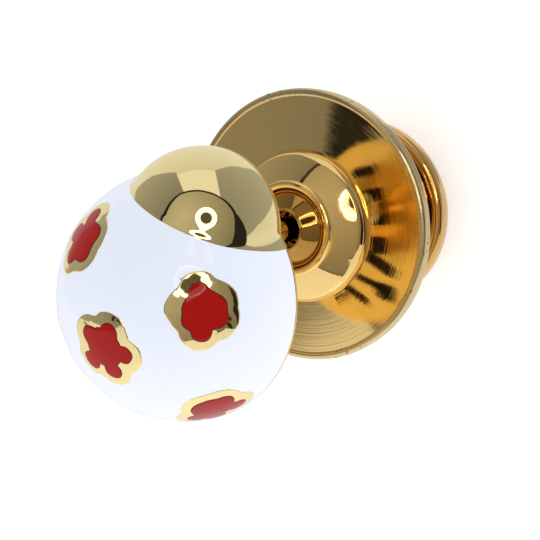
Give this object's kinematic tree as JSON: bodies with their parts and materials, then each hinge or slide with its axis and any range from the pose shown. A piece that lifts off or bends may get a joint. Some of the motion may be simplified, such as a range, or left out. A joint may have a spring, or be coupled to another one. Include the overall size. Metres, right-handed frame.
{
  "type": "tie tack",
  "caption": "Tie tack: domed enamelled head with a gold cap and flower outlines on a pointed post, held by a pull-to-release ball-lock clutch.",
  "frame": {"origin": "centre of the flat back of the pull knob, which the tack stands on", "axes": "+Z along the post from the knob to the ornamental head, +Y towards the side of the head with the polished gold cap"},
  "size_m": [0.011, 0.0125, 0.0186],
  "materials": {
    "polished_gold": "mirror polished gold plate",
    "spun_gold": "polished gold plate with fine turning marks",
    "turned_brass": "turned brass, gold flashed",
    "white_enamel": "glossy opaque vitreous enamel",
    "red_enamel": "glossy translucent vitreous enamel",
    "spring_steel": "drawn wire",
    "ball_steel": "ground and polished"
  },
  "bodies": {
    "clutch_shell": {"front_plate": "spun_gold", "rear_plate": "spun_gold", "lock_body": "turned_brass", "housing_tube": "spun_gold", "rear_cap": "spun_gold"},
    "core": {"spring": "spring_steel", "spring_washer": "spring_steel"},
    "plunger": {"plunger": "turned_brass", "knob_shell": "spun_gold", "knob_cap": "spun_gold"},
    "head": {"head_casting": "polished_gold", "white_enamel": "white_enamel", "red_enamel_1": "red_enamel", "red_enamel_2": "red_enamel", "red_enamel_3": "red_enamel", "red_enamel_4": "red_enamel", "red_enamel_5": "red_enamel", "post": "polished_gold", "solder_collar": "polished_gold"},
    "ball_1": {"locking_ball_1": "ball_steel"},
    "ball_2": {"locking_ball_2": "ball_steel"},
    "ball_3": {"locking_ball_3": "ball_steel"}
  },
  "joints": [
    {"name": "core_spin", "type": "hinge", "parent": "clutch_shell", "child": "core", "pos_m": [0, 0, 0], "axis": [0, 0, 1], "continuous": true},
    {"name": "knob_pull", "type": "slide", "parent": "core", "child": "plunger", "axis": [0, 0, -1], "range_m": [0, 0.001], "stiffness_N_per_m": 1200, "springref_m": -0.001, "deforming": ["spring"]},
    {"name": "post_slide", "type": "slide", "parent": "core", "child": "head", "axis": [0, 0, 1], "range_m": [-0.0028, 0.014]},
    {"name": "ball_1_slide", "type": "slide", "parent": "core", "child": "ball_1", "axis": [0, 0.2079, -0.9781], "range_m": [0, 0.0011]},
    {"name": "ball_2_slide", "type": "slide", "parent": "core", "child": "ball_2", "axis": [-0.1801, -0.104, -0.9781], "range_m": [0, 0.0011]},
    {"name": "ball_3_slide", "type": "slide", "parent": "core", "child": "ball_3", "axis": [0.1801, -0.104, -0.9781], "range_m": [0, 0.0011]}
  ],
  "couplings": [
    {"joint": "ball_1_slide", "follows": "knob_pull", "ratio": 1.0223},
    {"joint": "ball_2_slide", "follows": "knob_pull", "ratio": 1.0223},
    {"joint": "ball_3_slide", "follows": "knob_pull", "ratio": 1.0223}
  ]
}
